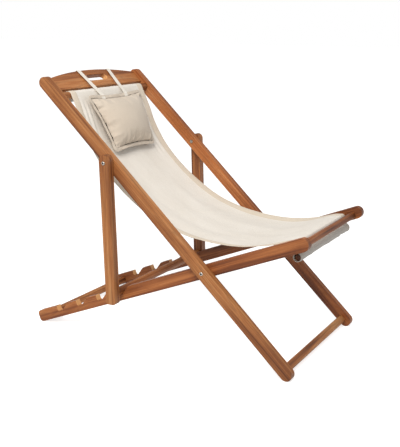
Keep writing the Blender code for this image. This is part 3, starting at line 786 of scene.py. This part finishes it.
def inflate(piece, rim):
    """Blows the cover up as stuffed cloth held at its seam, with no gravity, and keeps the result."""
    held = piece.vertex_groups.new(name="seam_line")
    held.add(rim, 1.0, "REPLACE")
    cover = piece.modifiers.new("stuffing", "CLOTH")
    settings = cover.settings
    settings.quality = 6
    settings.mass = 0.25
    settings.vertex_group_mass = held.name
    settings.shrink_min = -CUSHION_SPARE
    settings.tension_stiffness = 25
    settings.compression_stiffness = 25
    settings.shear_stiffness = 8
    settings.bending_stiffness = 0.35
    settings.tension_damping = 12
    settings.compression_damping = 12
    settings.use_pressure = True
    settings.uniform_pressure_force = 4.0
    settings.effector_weights.gravity = 0
    cover.point_cache.frame_start = 1
    cover.point_cache.frame_end = STUFFING_FRAMES
    scene = bpy.context.scene
    for number in range(1, STUFFING_FRAMES + 1):
        scene.frame_set(number)
    shaped = piece.evaluated_get(bpy.context.evaluated_depsgraph_get())
    places = [v.co.copy() for v in shaped.data.vertices]
    piece.modifiers.remove(cover)
    piece.vertex_groups.remove(held)
    for vertex, place in zip(piece.data.vertices, places):
        vertex.co = place
    scene.frame_set(1)


def pucker(mesh, rim):
    """Gathers the cover in small folds that run in from the seam and die out."""
    seam = [mesh.vertices[i].co.copy() for i in rim]
    held = set(rim)
    for vertex in mesh.vertices:
        if vertex.index in held:
            continue
        nearest = min(range(len(seam)), key=lambda i: (seam[i].xy - vertex.co.xy).length_squared)
        off = (seam[nearest].xy - vertex.co.xy).length
        if off > 3 * PUCKER_REACH:
            continue
        side = 1 if vertex.co.z > 0 else -1
        # Small and broad folds, told apart by the number of the nearest point of the seam.
        fold = noise.noise(Vector((nearest * 0.55, side * 9.0, 2.5)))
        fold += 0.6 * noise.noise(Vector((nearest * 0.23, side * 5.0, 7.5)))
        fade = math.exp(-off / PUCKER_REACH) * bump(off, 0, PUCKER_RISE)
        vertex.co.z += side * PUCKER_DEPTH * fold * fade


def cushion_plane():
    """Matrix from the cushion's own x, y and z to the world."""
    lean = math.radians(CUSHION_LEAN)
    place = BACK @ Matrix.Translation((*CUSHION_AT, 0)) @ Matrix.Rotation(lean, 4, "Z")
    turn = Matrix(((0, 1, 0), (0, 0, 1), (1, 0, 0))).to_4x4()
    return place @ turn


def add_flange(mesh, rim):
    """The flat, puckered border outside the seam: two layers of cloth that meet at its edge."""
    edit = bmesh.new()
    edit.from_mesh(mesh)
    layer = edit.loops.layers.uv.verify()
    shade = edit.verts.layers.float.new("seam")
    edit.verts.ensure_lookup_table()
    seam = [edit.verts[i] for i in rim]
    count = len(seam)
    for vertex in seam:
        vertex[shade] = 1.0
    outwards = []
    for index in range(count):
        along = (seam[(index + 1) % count].co - seam[index - 1].co).normalized()
        outwards.append(Vector((along.y, -along.x, 0)))
    chains = []
    for top in (1, -1):
        chain = []
        for share in FLANGE_ROWS[:-1]:
            row = []
            for index, vertex in enumerate(seam):
                x, y = vertex.co.xy
                frill = FLANGE_FRILL * noise.noise(Vector((x * FRILL_SCALE, y * FRILL_SCALE, 4.2)))
                curl = FLANGE_CURL * noise.noise(Vector((x * CURL_SCALE, y * CURL_SCALE, 8.6)))
                lift = Vector((0, 0, (frill + curl) * share + top * FLANGE_THICK / 2))
                row.append(edit.verts.new(vertex.co + outwards[index] * FLANGE_WIDTH * share + lift))
            chain.append(row)
        chains.append(chain)
    tip = []
    for index, (upper, lower) in enumerate(zip(chains[0][-1], chains[1][-1])):
        ragged = FLANGE_RAGGED * noise.noise(Vector((index * 0.9, 0, 1.7)))
        reach = FLANGE_WIDTH * (FLANGE_ROWS[-1] - FLANGE_ROWS[-2]) + ragged
        tip.append(edit.verts.new((upper.co + lower.co) / 2 + outwards[index] * reach))
    for side, chain in enumerate(chains):
        rows = [seam] + chain + [tip]
        for step, (inner, outer) in enumerate(zip(rows, rows[1:])):
            for i in range(count):
                k = (i + 1) % count
                corners = [(inner[i], i, step), (inner[k], i + 1, step), (outer[k], i + 1, step + 1),
                           (outer[i], i, step + 1)]
                if not side:
                    corners.reverse()
                face = edit.faces.new([corner[0] for corner in corners])
                for loop, (_, a, b) in zip(face.loops, corners):
                    loop[layer].uv = (a * CUSHION_CELL, b * FLANGE_WIDTH / len(FLANGE_ROWS))
    edit.to_mesh(mesh)
    edit.free()


def make_cushion():
    """The stuffed cover with its flange, lying on the sling."""
    look = cloth("cushion_cotton", CUSHION_BEIGE, CUSHION_SHADE, CUSHION_YARN, cushion_trim)
    mesh, rim = cushion_shell()
    piece = new_object("cushion_cover", mesh, look)
    inflate(piece, rim)
    low = min(v.co.z for v in mesh.vertices)
    high = max(v.co.z for v in mesh.vertices)
    for vertex in mesh.vertices:
        vertex.co.z *= CUSHION_FRONT / high if vertex.co.z > 0 else CUSHION_BACK / -low
    pucker(mesh, rim)
    add_flange(mesh, rim)
    soft = piece.modifiers.new("soft", "SUBSURF")
    soft.levels = soft.render_levels = 1
    bpy.context.view_layer.update()
    shaped = bpy.data.meshes.new_from_object(piece.evaluated_get(bpy.context.evaluated_depsgraph_get()))
    piece.modifiers.clear()
    piece.data = shaped
    shaped.shade_smooth()
    shaped.transform(cushion_plane())
    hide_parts("headrest_cushion")
    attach(piece, "back_frame")


# Straps.

def strap_route(side):
    """Middle of the webbing as (u, v), from the cushion's border over the headboard and down its back."""
    lean, at = STRAP_LEAN[side], STRAP_AT[side]
    crossing = abs(at + lean * (BOARD_CREST - STRAP_FROM)) - STRAP_WIDTH / 2
    crest = BOARD_CREST - crossing ** 2 / (2 * BOARD_ARCH) - BOARD_EDGE
    wrap = BOARD_EDGE + STRAP_OFF
    rear = BOARD_FRONT - BOARD_THICK + BOARD_EDGE
    path = list(STRAP_SEWN)
    path += arc((crest, BOARD_FRONT - BOARD_EDGE), wrap, 90, 0, 6)
    path += arc((crest, rear), wrap, 0, -90, 6)
    path.append((STRAP_END, rear - wrap))
    return resample(path, STRAP_STEP)


def strap_section():
    """The webbing's cross section as (w, n) points, with rounded and slightly thicker edges."""
    half, lip = STRAP_WIDTH / 2, STRAP_THICK / 2
    edge = [(-half + inwards, share * lip) for inwards, share in STRAP_PROFILE]
    top = edge + [(w, lip) for w in (-0.5 * half, 0.0, 0.5 * half)]
    top += [(-w, n) for w, n in reversed(edge)]
    return top + [(w, -n) for w, n in reversed(top[1:-1])]


def make_strap(side, look):
    """Cotton webbing that follows the CAD strap, slightly wavy along its way."""
    route = strap_route(side)
    ring = strap_section()
    rows = []
    for index, (point, s) in enumerate(route):
        along = heading(route, index)
        normal = Vector((-along.y, along.x))
        free = stretch(s, *STRAP_FREE)
        sway = STRAP_SWAY * noise.noise(Vector((s * 22, STRAP_AT[side] * 50, 0))) * free
        twist = STRAP_TWIST * math.sin(s * 60 + STRAP_AT[side] * 40) * free
        middle_w = STRAP_AT[side] + STRAP_LEAN[side] * (point.x - STRAP_FROM)
        row = []
        for w, n in ring:
            place = point + normal * (n + sway + twist * w / STRAP_WIDTH)
            row.append(BACK @ Vector((place.x, place.y, middle_w + w)))
        rows.append(row)
    made = loft(f"cushion_strap_{side}_webbing", rows, ring, [s for _, s in route], look)
    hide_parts("cushion_strap_" + side)
    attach(made, "back_frame")


# Room.

def make_floor():
    """A pale floor that glows to the white of the photograph's ground, without lighting the chair."""
    bpy.ops.mesh.primitive_plane_add(size=FLOOR_SIDE, location=(0, 0, 0))
    floor = bpy.context.object
    floor.name = "floor"
    paint = Shader("floor_paint").set(Base_Color=FLOOR_TONE, Roughness=0.9, Specular_IOR_Level=0.0,
                                      Emission_Color=(1.0, 1.0, 1.0), Emission_Strength=FLOOR_GLOW)
    floor.data.materials.append(paint)
    floor.visible_diffuse = False


def make_sky():
    """A bright horizon round a softer sky."""
    world = bpy.data.worlds.new("studio")
    bpy.context.scene.world = world
    world.use_nodes = True
    tree = world.node_tree
    direction = tree.nodes.new("ShaderNodeTexCoord").outputs["Generated"]
    split = tree.nodes.new("ShaderNodeSeparateXYZ")
    tree.links.new(direction, split.inputs[0])
    # Height from -1 below to 1 overhead, moved to the ramp's 0 to 1.
    height = tree.nodes.new("ShaderNodeMath")
    height.operation = "MULTIPLY_ADD"
    height.inputs[1].default_value = 0.5
    height.inputs[2].default_value = 0.5
    tree.links.new(split.outputs["Z"], height.inputs[0])
    sky = tree.nodes.new("ShaderNodeValToRGB")
    fill_ramp(sky.color_ramp, [(at, (tone, tone, tone)) for at, tone in SKY_STOPS])
    tree.links.new(height.outputs[0], sky.inputs[0])
    background = tree.nodes["Background"]
    tree.links.new(sky.outputs[0], background.inputs["Color"])
    background.inputs["Strength"].default_value = 1.0


def make_light():
    """The sky, and one large warm light high on the sitter's right, a little to the front."""
    make_sky()
    data = bpy.data.lights.new("key", "AREA")
    data.shape = "SQUARE"
    data.size = KEY_SIDE
    data.energy = KEY_POWER
    data.color = KEY_COLOUR
    key = bpy.data.objects.new("key", data)
    bpy.context.scene.collection.objects.link(key)
    key.location = KEY_PLACE
    key.rotation_euler = (Vector(KEY_TARGET) - Vector(KEY_PLACE)).to_track_quat("-Z", "Y").to_euler()
    bpy.context.scene.view_settings.view_transform = "Standard"


def make_camera():
    """At the photograph's viewing angle."""
    data = bpy.data.cameras.new("camera")
    data.lens = LENS_MM
    data.sensor_fit = "HORIZONTAL"
    data.sensor_width = SENSOR_MM
    made = bpy.data.objects.new("camera", data)
    bpy.context.scene.collection.objects.link(made)
    azimuth, elevation = math.radians(VIEW_AZIMUTH), math.radians(VIEW_ELEVATION)
    away = Vector((-math.sin(azimuth) * math.cos(elevation), -math.cos(azimuth) * math.cos(elevation),
                   math.sin(elevation)))
    turn = (-away).to_track_quat("-Z", "Y").to_matrix().to_4x4()
    roll = Matrix.Rotation(math.radians(VIEW_ROLL), 4, "Z")
    made.matrix_world = Matrix.Translation(Vector(VIEW_TARGET) + away * VIEW_DISTANCE) @ turn @ roll
    bpy.context.scene.camera = made


make_camera()
make_floor()
make_light()
dress_frame()
canvas, canvas_length = make_canvas()
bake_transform(canvas)
make_cushion()
webbing = cloth("strap_webbing", WEBBING_CREAM, WEBBING_SHADE, STRAP_YARN, webbing_trim)
for side_name in ("right", "left"):
    make_strap(side_name, webbing)
